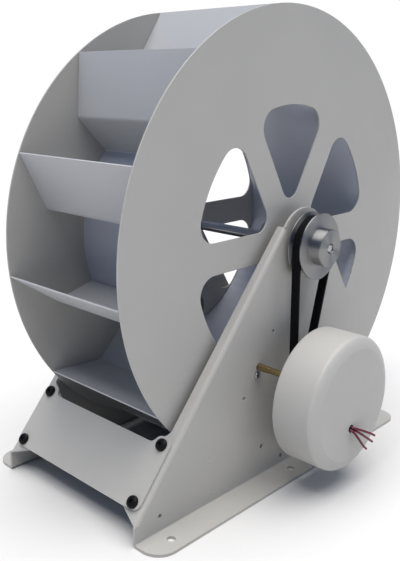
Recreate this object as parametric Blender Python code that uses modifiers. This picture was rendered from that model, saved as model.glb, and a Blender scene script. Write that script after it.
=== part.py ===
"""Micro hydro generator: a small overshot water wheel on a folded sheet stand, with a belt up to its
shaft from a round generator that stands off the near side plate.

World axes: +Z up, the wheel's shaft along Y, the generator on the -Y side. Most pieces are drawn in the
machine frame instead, as seen from the near side: X to the right, Y up and Z out towards the near side.
The stand has the same axes, measured from its own mid-plane.
"""

import math

import bmesh
import bpy
from mathutils import Matrix, Vector

# Fits and cutters
GAP = 0.0003
WELD = 0.00001
PAST = 0.010
SHARP_ANGLE = math.radians(35)

# Flat sides given to round pieces
LARGE_STEPS = 64
MEDIUM_STEPS = 32
SMALL_STEPS = 16
HOLE_STEPS = 12

# Water wheel
WHEEL_R = 0.250
WHEEL_STEPS = 96
DISC_FACE = 0.089
DISC_THICK = 0.002
AXLE_HEIGHT = 0.261
WINDOWS = 6
WINDOW_TURN = math.radians(31.1)
WINDOW_OUTER_R = 0.149
WINDOW_CORNER_R = 0.020
WINDOW_TIP_R = 0.015
WINDOW_STEPS = 6
SPOKE_HALF = 0.0168
DRUM_R = 0.151
DRUM_THICK = 0.0015
DRUM_STEPS = 72
BUCKETS = 12
BUCKET_THICK = 0.0016
BUCKET_LIP_R = 0.2496
BUCKET_BEND_R = 0.2025
BUCKET_FOOT_R = DRUM_R + GAP + BUCKET_THICK / 4
BUCKET_LIP_TURN = math.radians(7.1)
BUCKET_BEND_TURN = math.radians(19.7)
BUCKET_FOOT_TURN = math.radians(21.1)
BUCKET_FOLD_R = 0.005

# Shaft, hubs and bearings
SHAFT_R = 0.006
SHAFT_NOSE_R = 0.004
SHAFT_NOSE_END = 0.1435
SHAFT_FAR_END = -0.1125
SHAFT_EDGE = 0.0006
HUB_R = 0.022
HUB_FLANGE_R = 0.032
HUB_FLANGE = 0.004
HUB_LENGTH = 0.025
BEARING_R = 0.014
BEARING_FLANGE_R = 0.0165
BEARING_FLANGE = 0.0015
BEARING_LENGTH = 0.008

# Belt drive
PULLEY_HUB_FACE = 0.144
PULLEY_HUB_R = 0.0205
PULLEY_FRONT = 0.1315
PULLEY_BACK = 0.1147
PULLEY_FLANGE = 0.0018
PULLEY_FLANGE_R = 0.0366
PULLEY_BODY_R = 0.0300
PULLEY_EDGE = 0.0005
PULLEY_STEPS = 56
GRUB_OUT = 0.138
GRUB_HOLE_R = 0.0022
GRUB_HOLE_DEPTH = 0.006
SMALL_BODY_R = 0.0077
SMALL_FLANGE_R = 0.0125
SMALL_HUB_R = 0.009
SMALL_HUB_END = 0.1370
BELT_SEAT = 0.0004
BELT_THICK = 0.0022
BELT_WIDTH = 0.010
BELT_LARGE_STEPS = 36
BELT_SMALL_STEPS = 14

# Side plates, measured out from the stand's mid-plane, which is a little nearer than the wheel's
STAND_MID = 0.002
PLATE_FACE = 0.1067
SHEET = 0.003
HEAD_R = 0.0403
HEAD_STEPS = 24
FRONT_SLOPE = math.radians(50.6)
REAR_SLOPE = math.radians(56.77)
FOOT_EDGE = 0.139
FOOT_FRONT = -0.2493
FOOT_REAR = 0.193
FOOT_CORNER_R = 0.022
FOOT_CORNER_STEPS = 8
FOLD_R = 0.0045
FOLD_STEPS = 4
FOLD_STEP = 0.0002
FOOT_HOLE_R = 0.0045
FOOT_HOLE_OUT = 0.1229
FOOT_HOLES_X = (-0.2172, -0.0244, 0.161)
PLATE_HOLES = (
    (-0.0473, 0.1707, 0.0022),
    (-0.0936, 0.1057, 0.0022),
    (-0.0604, 0.0379, 0.0026),
    (-0.0235, 0.0128, 0.0026),
    (-0.2166, 0.0202, 0.0026),
)

# Front folds, measured down the slope from the head's tangent point: narrow beside the wheel's rim,
# tapered on the near side, and wide under the cover
FLANGE_ROOT = PLATE_FACE - SHEET / 2
FLANGE_TOP = -0.0045
NARROW_FLANGE = 0.0962
TAPERED_FLANGE = (0.0931, -0.2470)
NEAR_SHOULDER = (0.0905, -0.2522)
FAR_SHOULDER = (NARROW_FLANGE, -0.2522)
WIDE_FLANGE = 0.0735
WIDE_TOP = -0.2650
WIDE_FOOT = -0.3277
ROOT_FOOT = -0.3432
ROUND_FOOT = -0.3415
FLANGE_CORNER_R = 0.004

# Rear folds, measured up from the floor
REAR_FLANGE_TOP = 0.039
REAR_FLANGE_FOOT = 0.004
REAR_ROUND = (0.006, 0.0385)

# Covers and their screws
COVER_THICK = 0.0024
COVER_HALF = 0.1022
COVER_SCREW_OUT = 0.0921
COVER_TOP_SCREWS = -0.2633
COVER_BOTTOM_SCREWS = -0.3234
COVER_TOP_EDGE = -0.2643
COVER_EAR_TOP = -0.2548
COVER_EAR_R = 0.0088
COVER_EAR_INNER = 0.0840
COVER_EAR_FOOT = 0.0790
COVER_NOTCH_R = 0.0075
COVER_MARGIN = 0.0073
COVER_CORNER_R = 0.010
REAR_COVER_SCREWS = (0.012, 0.030)
SCREW_HEAD_R = 0.0065
SCREW_HEAD = 0.004
SCREW_HEAD_ROUND = 0.0028
SCREW_SHANK_R = 0.0029
SCREW_LENGTH = 0.010
SCREW_SOCKET_R = 0.0023
SCREW_SOCKET = 0.0022
SCREW_HOLE_R = SCREW_SHANK_R + GAP

# Generator
GENERATOR_X = -0.0175
GENERATOR_HEIGHT = 0.102
GENERATOR_R = 0.0743
GENERATOR_BACK = 0.1434
GENERATOR_FRONT = 0.1967
GENERATOR_FRONT_ROUND = 0.007
GENERATOR_BACK_ROUND = 0.004
ROTOR_SHAFT_R = 0.004
ROTOR_SHAFT_END = 0.1137
ROTOR_SHAFT_ROOT = 0.165
PILLARS = 3
PILLAR_CIRCLE_R = 0.0636
PILLAR_TURN = math.radians(147.7)
PILLAR_R = 0.0039
PILLAR_THIN_R = 0.0033
PILLAR_STEP = 0.124
PLATE_SCREW = (-0.0741, 0.1265)
PLATE_SCREW_HEAD_R = 0.0036
PLATE_SCREW_HEAD = 0.0022
PLATE_SCREW_ROUND = 0.0014
PLATE_SCREW_SHANK_R = 0.0019
PLATE_SCREW_LENGTH = 0.0043

# Generator leads
LEAD_HOLE = (-0.0200, 0.0760)
GROMMET_R = 0.0042
GROMMET_DEPTH = 0.005
LEAD_R = 0.0013
LEAD_RING_R = 0.0019
LEAD_POINTS = 15
LEAD_STRAIGHT = 0.007
LEAD_DROOP = (-0.0085, 0.0062, -0.0005)
LEAD_ENDS = (
    (0.0075, 0.0632, 0.2100),
    (-0.0045, 0.0510, 0.2080),
    (0.0060, 0.0560, 0.2085),
)

# The wheel's mid-plane, placed so that the origin is under the middle of the whole machine
MID_Y = (GENERATOR_FRONT - (FOOT_EDGE - STAND_MID)) / 2

PARTS = "micro_hydro_generator"
CUTTERS = "cutters"


def clear_scene():
    for obj in list(bpy.data.objects):
        bpy.data.objects.remove(obj)
    for name in (PARTS, CUTTERS):
        bpy.context.scene.collection.children.link(bpy.data.collections.new(name))
    bpy.data.collections[CUTTERS].hide_render = True


def material(name, colour, roughness, metallic=0.0):
    made = bpy.data.materials.new(name)
    made.use_nodes = True
    shader = made.node_tree.nodes["Principled BSDF"]
    shader.inputs["Base Color"].default_value = (*colour, 1)
    shader.inputs["Roughness"].default_value = roughness
    shader.inputs["Metallic"].default_value = metallic
    made.diffuse_color = (*colour, 1)
    return made


def make_materials():
    return {
        "white_paint": material("white_paint", (0.72, 0.72, 0.71), 0.45),
        "housing_paint": material("housing_paint", (0.78, 0.78, 0.77), 0.5),
        "aluminium": material("aluminium", (0.60, 0.61, 0.62), 0.3, 1.0),
        "steel": material("steel", (0.38, 0.38, 0.39), 0.35, 1.0),
        "black_steel": material("black_steel", (0.02, 0.02, 0.02), 0.4, 0.6),
        "brass": material("brass", (0.55, 0.42, 0.18), 0.35, 1.0),
        "belt_rubber": material("belt_rubber", (0.015, 0.015, 0.02), 0.7),
        "lead_sleeve": material("lead_sleeve", (0.32, 0.02, 0.06), 0.45),
    }


def add_object(name, data, parent, finish=None, cutter=False):
    obj = bpy.data.objects.new(name, data)
    bpy.data.collections[CUTTERS if cutter else PARTS].objects.link(obj)
    obj.parent = parent
    if cutter:
        obj.hide_render = True
        obj.display_type = "WIRE"
    if finish:
        obj.data.materials.append(finish)
    return obj


def frame_empty(name, parent, matrix):
    """An empty that carries pieces; the matrix places it in its parent's frame."""
    empty = bpy.data.objects.new(name, None)
    bpy.data.collections[PARTS].objects.link(empty)
    empty.parent = parent
    empty.matrix_basis = matrix
    empty.empty_display_size = 0.03
    return empty


def axes_matrix(origin, x_axis, y_axis):
    """The frame at the origin whose X and Y axes point along the two given directions."""
    x_axis = Vector(x_axis)
    y_axis = Vector(y_axis)
    turn = Matrix((x_axis, y_axis, x_axis.cross(y_axis))).transposed()
    return Matrix.Translation(origin) @ turn.to_4x4()


def arc(centre, radius, start, end, steps):
    """Points on an arc from the start angle to the end angle, both included."""
    turns = [start + (end - start) * i / steps for i in range(steps + 1)]
    return [(centre[0] + radius * math.cos(a), centre[1] + radius * math.sin(a)) for a in turns]


def circle(centre, radius, steps):
    return arc(centre, radius, 0, math.tau, steps)[:-1]


def polar(radius, turn):
    return (radius * math.cos(turn), radius * math.sin(turn))


def rounded(corners, steps=5):
    """A closed outline from (x, y, radius) corners, with an arc of its radius at each."""
    points = []
    for i, (x, y, radius) in enumerate(corners):
        here = Vector((x, y))
        back = (Vector(corners[i - 1][:2]) - here).normalized()
        ahead = (Vector(corners[(i + 1) % len(corners)][:2]) - here).normalized()
        if radius == 0:
            points.append((x, y))
            continue
        half = back.angle(ahead) / 2
        centre = here + (back + ahead).normalized() * radius / math.sin(half)
        start = here + back * radius / math.tan(half) - centre
        end = here + ahead * radius / math.tan(half) - centre
        first = math.atan2(start.y, start.x)
        turn = start.angle_signed(end)
        points += arc(centre, radius, first, first - turn, steps)
    return points


def settled(obj, cutter=False):
    """The object's evaluated shape as a plain mesh of one welded body that faces out."""
    bpy.context.view_layer.update()
    graph = bpy.context.evaluated_depsgraph_get()
    mesh = bpy.data.meshes.new_from_object(obj.evaluated_get(graph))
    shape = bmesh.new()
    shape.from_mesh(mesh)
    bmesh.ops.remove_doubles(shape, verts=shape.verts, dist=WELD)
    bmesh.ops.recalc_face_normals(shape, faces=shape.faces)
    shape.to_mesh(mesh)
    shape.free()
    mesh.shade_smooth()
    mesh.set_sharp_from_angle(angle=SHARP_ANGLE)
    name = obj.name
    parent = obj.parent
    basis = obj.matrix_basis.copy()
    bpy.data.objects.remove(obj)
    mesh.name = name
    made = add_object(name, mesh, parent, cutter=cutter)
    made.matrix_basis = basis
    return made


def flat_solid(name, outlines, low, high, parent, finish=None, cutter=False):
    """A sheet between two heights of its frame's Z: the first outline, with the others as holes."""
    curve = bpy.data.curves.new(name, "CURVE")
    curve.dimensions = "2D"
    curve.fill_mode = "BOTH"
    curve.extrude = abs(high - low) / 2
    for outline in outlines:
        spline = curve.splines.new("POLY")
        spline.points.add(len(outline) - 1)
        for point, (x, y) in zip(spline.points, outline):
            point.co = (x, y, 0, 1)
        spline.use_cyclic_u = True
    obj = add_object(name, curve, parent, finish, cutter)
    obj.location.z = (low + high) / 2
    return settled(obj, cutter)


def turned(name, profile, steps, parent, finish=None, cutter=False):
    """A turned piece: (radius, height) points, top to bottom down its outer side."""
    mesh = bpy.data.meshes.new(name)
    edges = [(i, i + 1) for i in range(len(profile) - 1)]
    if profile[0][0] > 0:
        edges.append((len(profile) - 1, 0))
    mesh.from_pydata([(radius, 0, height) for radius, height in profile], edges, [])
    obj = add_object(name, mesh, parent, finish, cutter)
    screw = obj.modifiers.new("turn", "SCREW")
    screw.steps = steps
    screw.render_steps = steps
    screw.use_merge_vertices = True
    screw.merge_threshold = WELD
    return settled(obj, cutter)


def combine(obj, other, operation):
    join = obj.modifiers.new(operation.lower(), "BOOLEAN")
    join.operation = operation
    join.solver = "EXACT"
    join.object = other


def drill(obj, name, frame, points, radius, low, high, steps=SMALL_STEPS):
    """Round holes in the object, between two heights of the given frame's Z axis."""
    profile = [(0, high), (radius, high), (radius, low), (0, low)]
    for number, (x, y) in enumerate(points, 1):
        hole = turned(f"{obj.name}_{name}_{number}", profile, steps, frame, cutter=True)
        hole.location = (x, y, 0)
        combine(obj, hole, "DIFFERENCE")


def window_outline(turn):
    """One window: an arc near the drum, sides parallel to the two spokes, and a round tip."""
    half_sector = math.pi / WINDOWS
    tip = (SPOKE_HALF + WINDOW_TIP_R) / math.sin(half_sector)
    corner_far = WINDOW_OUTER_R - WINDOW_CORNER_R
    corner_turn = half_sector - math.asin((SPOKE_HALF + WINDOW_CORNER_R) / corner_far)
    low = polar(corner_far, -corner_turn)
    high = polar(corner_far, corner_turn)
    side = math.pi / 2 + half_sector
    points = arc((tip, 0), WINDOW_TIP_R, side, math.tau - side, WINDOW_STEPS)
    points += arc(low, WINDOW_CORNER_R, -side, -corner_turn, WINDOW_STEPS)
    points += arc((0, 0), WINDOW_OUTER_R, -corner_turn, corner_turn, WINDOW_STEPS)[1:-1]
    points += arc(high, WINDOW_CORNER_R, corner_turn, side, WINDOW_STEPS)
    rotation = Matrix.Rotation(turn, 2)
    return [tuple(rotation @ Vector(point)) for point in points]


def disc(name, side, wheel, finish):
    outlines = [circle((0, 0), WHEEL_R, WHEEL_STEPS), circle((0, 0), SHAFT_R + GAP, MEDIUM_STEPS)]
    outlines += [window_outline(WINDOW_TURN + i * math.tau / WINDOWS) for i in range(WINDOWS)]
    outer = side * DISC_FACE
    return flat_solid(name, outlines, outer - side * DISC_THICK, outer, wheel, finish)


def drum(wheel, finish):
    reach = DISC_FACE - DISC_THICK - GAP
    outlines = [circle((0, 0), DRUM_R, DRUM_STEPS), circle((0, 0), DRUM_R - DRUM_THICK, DRUM_STEPS)]
    return flat_solid("drum", outlines, -reach, reach, wheel, finish)


def bucket_profile():
    """The bucket's middle line: the lip at the rim, the fold, and the foot at the drum."""
    lip = polar(BUCKET_LIP_R, BUCKET_LIP_TURN)
    bend = polar(BUCKET_BEND_R, BUCKET_BEND_TURN)
    foot = polar(BUCKET_FOOT_R, BUCKET_FOOT_TURN)
    return rounded([(*lip, 0), (*bend, BUCKET_FOLD_R), (*foot, 0)], steps=FOLD_STEPS)


def bucket_mesh():
    reach = DISC_FACE - DISC_THICK - GAP
    shape = bmesh.new()
    verts = [shape.verts.new((x, y, -reach)) for x, y in bucket_profile()]
    edges = [shape.edges.new(pair) for pair in zip(verts, verts[1:])]
    swept = bmesh.ops.extrude_edge_only(shape, edges=edges)["geom"]
    moved = [item for item in swept if isinstance(item, bmesh.types.BMVert)]
    bmesh.ops.translate(shape, verts=moved, vec=(0, 0, 2 * reach))
    mesh = bpy.data.meshes.new("bucket_sheet")
    shape.to_mesh(mesh)
    shape.free()
    return mesh


def buckets(wheel, finish):
    mesh = bucket_mesh()
    mesh.materials.append(finish)
    for number in range(BUCKETS):
        obj = add_object(f"bucket_{number + 1:02d}", mesh, wheel)
        obj.matrix_basis = Matrix.Rotation(number * math.tau / BUCKETS, 4, "Z")
        thick = obj.modifiers.new("thickness", "SOLIDIFY")
        thick.thickness = BUCKET_THICK
        thick.offset = 0
        thick.use_even_offset = True


def facing(obj, side):
    """Turns a piece that is drawn for the near side to the far side."""
    if side < 0:
        obj.rotation_euler.x = math.pi
    return obj


def hub(name, side, wheel, finish):
    """A collar behind the disc, with its flange against it."""
    face = DISC_FACE - DISC_THICK - GAP
    bore = SHAFT_R + GAP
    profile = [
        (bore, face),
        (HUB_FLANGE_R, face),
        (HUB_FLANGE_R, face - HUB_FLANGE),
        (HUB_R, face - HUB_FLANGE),
        (HUB_R, face - HUB_LENGTH),
        (bore, face - HUB_LENGTH),
    ]
    return facing(turned(name, profile, MEDIUM_STEPS, wheel, finish), side)


def wheel_shaft(wheel, finish):
    shoulder = PULLEY_BACK - GAP
    profile = [
        (0, SHAFT_NOSE_END),
        (SHAFT_NOSE_R - SHAFT_EDGE, SHAFT_NOSE_END),
        (SHAFT_NOSE_R, SHAFT_NOSE_END - SHAFT_EDGE),
        (SHAFT_NOSE_R, shoulder),
        (SHAFT_R, shoulder),
        (SHAFT_R, SHAFT_FAR_END + SHAFT_EDGE),
        (SHAFT_R - SHAFT_EDGE, SHAFT_FAR_END),
        (0, SHAFT_FAR_END),
    ]
    return turned("wheel_shaft", profile, MEDIUM_STEPS, wheel, finish)


def grub_hole(pulley, wheel):
    """A radial hole in the top of the pulley's hub."""
    top = PULLEY_HUB_R + PAST
    floor = PULLEY_HUB_R - GRUB_HOLE_DEPTH
    profile = [(0, top), (GRUB_HOLE_R, top), (GRUB_HOLE_R, floor), (0, floor)]
    hole = turned("grub_hole", profile, HOLE_STEPS, wheel, cutter=True)
    hole.matrix_basis = axes_matrix((0, 0, GRUB_OUT), (1, 0, 0), (0, 0, -1))
    combine(pulley, hole, "DIFFERENCE")


def drive_pulley(wheel, finish):
    bore = SHAFT_NOSE_R + GAP
    front_inner = PULLEY_FRONT - PULLEY_FLANGE
    back_inner = PULLEY_BACK + PULLEY_FLANGE
    profile = [
        (bore, PULLEY_HUB_FACE),
        (PULLEY_HUB_R - PULLEY_EDGE, PULLEY_HUB_FACE),
        (PULLEY_HUB_R, PULLEY_HUB_FACE - PULLEY_EDGE),
        (PULLEY_HUB_R, PULLEY_FRONT),
        (PULLEY_FLANGE_R - PULLEY_EDGE, PULLEY_FRONT),
        (PULLEY_FLANGE_R, PULLEY_FRONT - PULLEY_EDGE),
        (PULLEY_FLANGE_R, front_inner),
        (PULLEY_BODY_R, front_inner),
        (PULLEY_BODY_R, back_inner),
        (PULLEY_FLANGE_R, back_inner),
        (PULLEY_FLANGE_R, PULLEY_BACK + PULLEY_EDGE),
        (PULLEY_FLANGE_R - PULLEY_EDGE, PULLEY_BACK),
        (bore, PULLEY_BACK),
    ]
    obj = turned("drive_pulley", profile, PULLEY_STEPS, wheel, finish)
    grub_hole(obj, wheel)
    return obj


def small_pulley(rotor, finish):
    bore = ROTOR_SHAFT_R + GAP
    front_inner = PULLEY_FRONT - PULLEY_FLANGE
    back_inner = PULLEY_BACK + PULLEY_FLANGE
    profile = [
        (bore, SMALL_HUB_END),
        (SMALL_HUB_R, SMALL_HUB_END),
        (SMALL_HUB_R, PULLEY_FRONT),
        (SMALL_FLANGE_R, PULLEY_FRONT),
        (SMALL_FLANGE_R, front_inner),
        (SMALL_BODY_R, front_inner),
        (SMALL_BODY_R, back_inner),
        (SMALL_FLANGE_R, back_inner),
        (SMALL_FLANGE_R, PULLEY_BACK),
        (bore, PULLEY_BACK),
    ]
    return turned("generator_pulley", profile, MEDIUM_STEPS, rotor, finish)


def generator_shaft(rotor, finish):
    root = ROTOR_SHAFT_ROOT - GAP
    profile = [
        (0, root),
        (ROTOR_SHAFT_R, root),
        (ROTOR_SHAFT_R, ROTOR_SHAFT_END + SHAFT_EDGE),
        (ROTOR_SHAFT_R - SHAFT_EDGE, ROTOR_SHAFT_END),
        (0, ROTOR_SHAFT_END),
    ]
    return turned("generator_shaft", profile, MEDIUM_STEPS, rotor, finish)


def belt_loop(large_r, small_r):
    """The outline of a taut loop round the two pulleys, in the machine frame."""
    large = Vector((0, AXLE_HEIGHT))
    small = Vector((GENERATOR_X, GENERATOR_HEIGHT))
    down = small - large
    heading = math.atan2(down.y, down.x)
    lean = math.acos((large_r - small_r) / down.length)
    points = arc(large, large_r, heading + lean, heading + math.tau - lean, BELT_LARGE_STEPS)
    points += arc(small, small_r, heading - lean, heading + lean, BELT_SMALL_STEPS)
    return points


def drive_belt(machine, finish):
    large = PULLEY_BODY_R + BELT_SEAT
    small = SMALL_BODY_R + BELT_SEAT
    low = (PULLEY_FRONT + PULLEY_BACK - BELT_WIDTH) / 2
    outlines = [belt_loop(large + BELT_THICK, small + BELT_THICK), belt_loop(large, small)]
    return flat_solid("drive_belt", outlines, low, low + BELT_WIDTH, machine, finish)


def side_outline():
    """The side plate seen from the near side: a round head on two slanted edges, run on to the floor."""
    front = math.pi / 2 + FRONT_SLOPE
    rear = math.pi / 2 - REAR_SLOPE
    head = arc((0, AXLE_HEIGHT), HEAD_R, rear, front, HEAD_STEPS)
    front_x = head[-1][0] - head[-1][1] / math.tan(FRONT_SLOPE)
    rear_x = head[0][0] + head[0][1] / math.tan(REAR_SLOPE)
    return head + [(front_x, 0), (front_x, -PAST), (rear_x, -PAST), (rear_x, 0)]


def folded_section(side):
    """The plate and its foot seen along the machine: (out, height) corners with the fold's radii."""
    top = AXLE_HEIGHT + HEAD_R + PAST
    corners = [
        (FOOT_EDGE + PAST, 0, 0),
        (FOOT_EDGE + PAST, SHEET, 0),
        (PLATE_FACE, SHEET, FOLD_R - SHEET),
        (PLATE_FACE, top, 0),
        (PLATE_FACE - SHEET, top, 0),
        (PLATE_FACE - SHEET, 0, FOLD_R),
    ]
    return rounded([(side * out, height, radius) for out, height, radius in corners], FOLD_STEPS)


def foot_plan(side):
    """The foot seen from above, with its two outer corners rounded."""
    inner = PLATE_FACE - SHEET - PAST
    corners = [
        (FOOT_FRONT, -side * inner, 0),
        (FOOT_FRONT, -side * FOOT_EDGE, FOOT_CORNER_R),
        (FOOT_REAR, -side * FOOT_EDGE, FOOT_CORNER_R),
        (FOOT_REAR, -side * inner, 0),
    ]
    return rounded(corners, FOOT_CORNER_STEPS)


def front_flange_outline(side):
    """The front fold: narrow up the slope, wide under the cover, cut off slanting at its foot."""
    taper = [(*TAPERED_FLANGE, 0), (*NEAR_SHOULDER, FLANGE_CORNER_R)]
    straight = [(*FAR_SHOULDER, FLANGE_CORNER_R)]
    corners = [
        (FLANGE_ROOT, FLANGE_TOP, 0),
        (NARROW_FLANGE, FLANGE_TOP, 0),
        *(taper if side > 0 else straight),
        (WIDE_FLANGE, WIDE_TOP, FLANGE_CORNER_R),
        (WIDE_FLANGE, WIDE_FOOT, FLANGE_CORNER_R),
        (FLANGE_ROOT, ROOT_FOOT, 0),
    ]
    return rounded([(side * out, up, radius) for out, up, radius in corners])


def rear_flange_outline(side):
    corners = [
        (FLANGE_ROOT, REAR_FLANGE_FOOT, 0),
        (FLANGE_ROOT, REAR_FLANGE_TOP, 0),
        (WIDE_FLANGE, REAR_FLANGE_TOP, FLANGE_CORNER_R),
        (WIDE_FLANGE, REAR_FLANGE_FOOT, FLANGE_CORNER_R),
    ]
    return rounded([(-side * out, up, radius) for out, up, radius in corners])


def round_fold(plate, name, side, frame, low, high):
    """Takes the sharp edge off a fold, along the frame's Y; side is the plate's side on its X."""
    bend = PLATE_FACE - FOLD_R
    outline = [
        (PLATE_FACE + PAST, PAST),
        (bend, PAST),
        *arc((bend, -FOLD_R), FOLD_R, math.pi / 2, 0, FOLD_STEPS),
        (PLATE_FACE + PAST, -FOLD_R),
    ]
    outline = [(side * out, height) for out, height in outline]
    cutter = flat_solid(f"{plate.name}_{name}", [outline], -high, -low, frame, cutter=True)
    cutter.matrix_basis = axes_matrix((0, 0, 0), (1, 0, 0), (0, 0, 1)) @ cutter.matrix_basis
    combine(plate, cutter, "DIFFERENCE")


def side_plate(name, side, frames, finish):
    """Plate and foot are one folded section, trimmed to the side view and to the plan of the foot."""
    stand = frames["stand"]
    run = PAST - FOOT_FRONT
    plate = flat_solid(name, [folded_section(side)], -run, run, stand, finish)
    plate.matrix_basis = axes_matrix((0, 0, 0), (0, 0, 1), (0, 1, 0))
    top = AXLE_HEIGHT + HEAD_R + 2 * PAST
    plan = flat_solid(f"{name}_plan", [foot_plan(side)], -PAST, top, stand, cutter=True)
    plan.matrix_basis = axes_matrix((0, 0, 0), (1, 0, 0), (0, 0, -1)) @ plan.matrix_basis
    combine(plate, plan, "INTERSECT")
    inner, outer = sorted((side * (PLATE_FACE - SHEET - PAST), side * (FOOT_EDGE + PAST)))
    trim = flat_solid(f"{name}_side_view", [side_outline()], inner, outer, stand, cutter=True)
    combine(plate, trim, "INTERSECT")
    slope = frames["front_slope"]
    flange = flat_solid(f"{name}_front_fold", [front_flange_outline(side)], -SHEET, 0, slope, cutter=True)
    combine(plate, flange, "UNION")
    rear = frames["rear_edge"]
    flange = flat_solid(f"{name}_rear_fold", [rear_flange_outline(side)], -SHEET, 0, rear, cutter=True)
    combine(plate, flange, "UNION")
    round_fold(plate, "front_round", side, slope, ROUND_FOOT, FLANGE_TOP)
    round_fold(plate, "rear_round", -side, rear, *REAR_ROUND)
    return plate


def drill_side_plate(plate, side, frames):
    stand = frames["stand"]
    low, high = sorted((side * (PLATE_FACE - SHEET - PAST), side * (PLATE_FACE + PAST)))
    drill(plate, "bearing_hole", stand, [(0, AXLE_HEIGHT)], BEARING_R + GAP, low, high, MEDIUM_STEPS)
    for number, (x, height, radius) in enumerate(PLATE_HOLES, 1):
        drill(plate, f"hole_{number}", stand, [(x, height)], radius, low, high, HOLE_STEPS)
    feet = [(x, -side * FOOT_HOLE_OUT) for x in FOOT_HOLES_X]
    drill(plate, "foot_hole", frames["floor"], feet, FOOT_HOLE_R, -PAST, PAST)
    front = [(side * COVER_SCREW_OUT, up) for up in (COVER_TOP_SCREWS, COVER_BOTTOM_SCREWS)]
    drill(plate, "front_screw_hole", frames["front_slope"], front, SCREW_HOLE_R, -PAST, PAST)
    rear = [(-side * COVER_SCREW_OUT, up) for up in REAR_COVER_SCREWS]
    drill(plate, "rear_screw_hole", frames["rear_edge"], rear, SCREW_HOLE_R, -PAST, PAST)


def cover(name, outline, rows, frame, finish):
    """A flat plate with a screw hole near each end of the given rows."""
    places = [(side * COVER_SCREW_OUT, up) for side in (-1, 1) for up in rows]
    holes = [circle(place, SCREW_HOLE_R, SMALL_STEPS) for place in places]
    return flat_solid(name, [outline, *holes], GAP, GAP + COVER_THICK, frame, finish)


def front_cover(frames, finish):
    """A plate across the slope, with a round ear at each top screw."""
    foot = COVER_BOTTOM_SCREWS - COVER_MARGIN
    right = [
        (COVER_HALF, foot, COVER_CORNER_R),
        (COVER_HALF, COVER_EAR_TOP, COVER_EAR_R),
        (COVER_EAR_INNER, COVER_EAR_TOP, COVER_EAR_R),
        (COVER_EAR_FOOT, COVER_TOP_EDGE, COVER_NOTCH_R),
    ]
    left = [(-x, y, radius) for x, y, radius in reversed(right)]
    rows = (COVER_TOP_SCREWS, COVER_BOTTOM_SCREWS)
    return cover("front_cover", rounded(right + left), rows, frames["front_slope"], finish)


def rear_cover(frames, finish):
    foot = REAR_COVER_SCREWS[0] - COVER_MARGIN
    top = REAR_COVER_SCREWS[1] + COVER_MARGIN
    corners = [(COVER_HALF, foot), (COVER_HALF, top), (-COVER_HALF, top), (-COVER_HALF, foot)]
    outline = rounded([(x, y, COVER_CORNER_R) for x, y in corners])
    return cover("rear_cover", outline, REAR_COVER_SCREWS, frames["rear_edge"], finish)


def cover_screw_mesh(finish):
    """A button head with a hexagon socket; its seat is at the origin."""
    crown = (SCREW_HEAD_R - SCREW_HEAD_ROUND, SCREW_HEAD - SCREW_HEAD_ROUND)
    profile = [
        (0, SCREW_HEAD),
        *arc(crown, SCREW_HEAD_ROUND, math.pi / 2, 0, 3),
        (SCREW_HEAD_R, 0),
        (SCREW_SHANK_R, 0),
        (SCREW_SHANK_R, -SCREW_LENGTH),
        (0, -SCREW_LENGTH),
    ]
    screw = turned("screw_blank", profile, SMALL_STEPS, None, cutter=True)
    low = SCREW_HEAD - SCREW_SOCKET
    drill(screw, "socket", None, [(0, 0)], SCREW_SOCKET_R, low, SCREW_HEAD + PAST, 6)
    screw = settled(screw, cutter=True)
    mesh = screw.data
    bpy.data.objects.remove(screw)
    mesh.materials.append(finish)
    return mesh


def cover_screws(frames, finish):
    mesh = cover_screw_mesh(finish)
    seat = GAP + COVER_THICK + GAP
    sets = (
        ("front", frames["front_slope"], (COVER_TOP_SCREWS, COVER_BOTTOM_SCREWS)),
        ("rear", frames["rear_edge"], REAR_COVER_SCREWS),
    )
    for where, frame, rows in sets:
        places = [(side * COVER_SCREW_OUT, up) for up in rows for side in (-1, 1)]
        for number, (x, y) in enumerate(places, 1):
            obj = add_object(f"cover_screw_{where}_{number}", mesh, frame)
            obj.location = (x, y, seat)


def bearing(name, side, axle, finish):
    """A flanged bearing pressed into the plate from outside."""
    flange_top = PLATE_FACE + GAP + BEARING_FLANGE
    bore = SHAFT_R + GAP
    profile = [
        (bore, flange_top),
        (BEARING_FLANGE_R, flange_top),
        (BEARING_FLANGE_R, flange_top - BEARING_FLANGE),
        (BEARING_R, flange_top - BEARING_FLANGE),
        (BEARING_R, flange_top - BEARING_LENGTH),
        (bore, flange_top - BEARING_LENGTH),
    ]
    return facing(turned(name, profile, MEDIUM_STEPS, axle, finish), side)


def housing_profile():
    """The housing's outer side is rounded into its face and its back; a blind bore holds the shaft."""
    face = (GENERATOR_R - GENERATOR_FRONT_ROUND, GENERATOR_FRONT - GENERATOR_FRONT_ROUND)
    back = (GENERATOR_R - GENERATOR_BACK_ROUND, GENERATOR_BACK + GENERATOR_BACK_ROUND)
    bore = ROTOR_SHAFT_R + GAP
    return [
        (0, GENERATOR_FRONT),
        *arc(face, GENERATOR_FRONT_ROUND, math.pi / 2, 0, 4),
        *arc(back, GENERATOR_BACK_ROUND, 0, -math.pi / 2, 3),
        (bore, GENERATOR_BACK),
        (bore, ROTOR_SHAFT_ROOT),
        (0, ROTOR_SHAFT_ROOT),
    ]


def generator_housing(machine, stator, finish):
    obj = turned("generator_housing", housing_profile(), LARGE_STEPS, stator, finish)
    low = GENERATOR_FRONT - GROMMET_DEPTH - GAP
    high = GENERATOR_FRONT + PAST
    drill(obj, "lead_hole", machine, [LEAD_HOLE], GROMMET_R + GAP, low, high, SMALL_STEPS)
    return obj


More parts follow.
